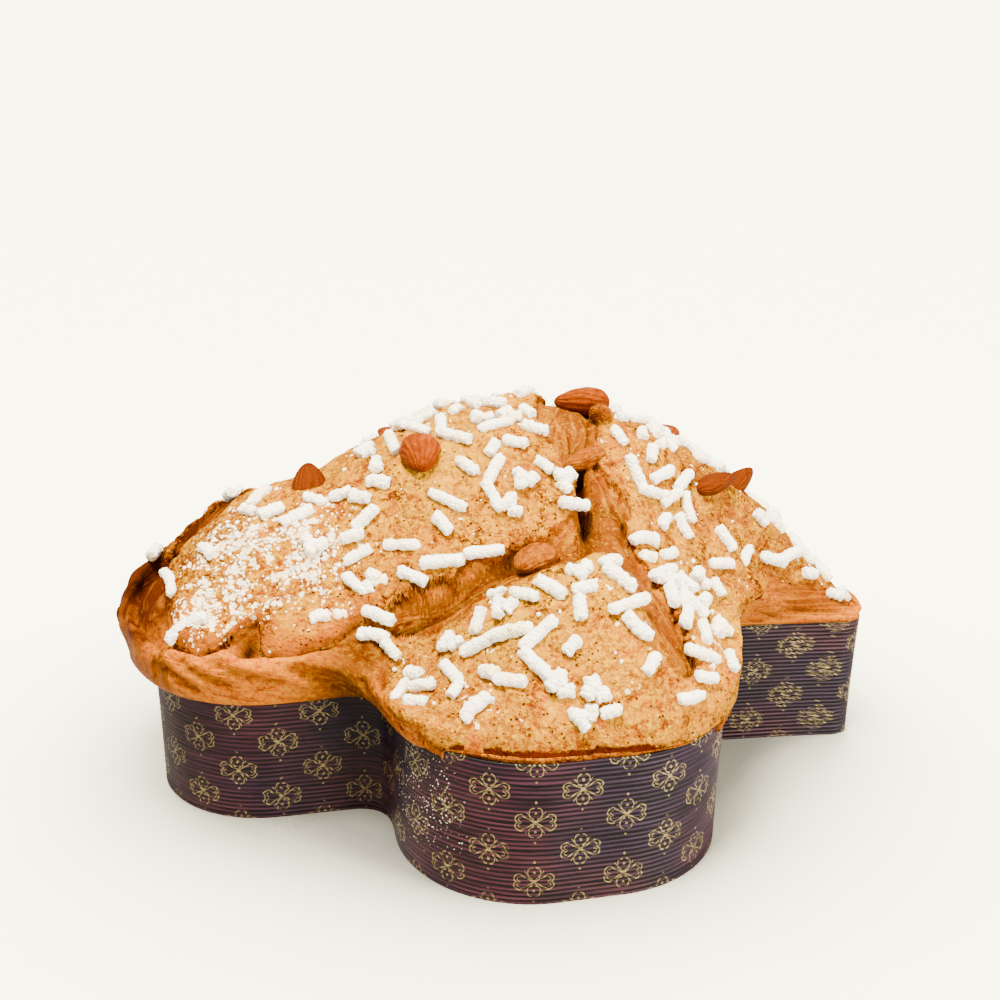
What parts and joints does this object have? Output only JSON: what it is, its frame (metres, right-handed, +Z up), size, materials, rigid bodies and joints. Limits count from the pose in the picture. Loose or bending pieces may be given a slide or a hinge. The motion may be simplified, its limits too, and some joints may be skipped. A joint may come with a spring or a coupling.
{
  "type": "colomba cake",
  "caption": "Dove-shaped Easter cake with almond glaze, whole almonds and pearl sugar, in a ribbed paper case.",
  "frame": {"origin": "on the underside of the paper case, below the crossing of the body and the wings", "axes": "+X from the head towards the tail, +Y towards the far wing, +Z up out of the case"},
  "size_m": [0.3322, 0.2751, 0.1631],
  "materials": {
    "case_paper": "matte ribbed",
    "glazed_crust": "matte baked glaze",
    "almond_skin": "satin"
  },
  "bodies": {
    "root": {"paper_case": "case_paper", "colomba_cake": "glazed_crust", "almond_1": "almond_skin", "almond_2": "almond_skin", "almond_3": "almond_skin", "almond_4": "almond_skin", "almond_5": "almond_skin", "almond_6": "almond_skin", "almond_7": "almond_skin", "almond_8": "almond_skin", "almond_9": "almond_skin", "almond_10": "almond_skin", "almond_11": "almond_skin", "almond_12": "almond_skin"}
  },
  "joints": []
}
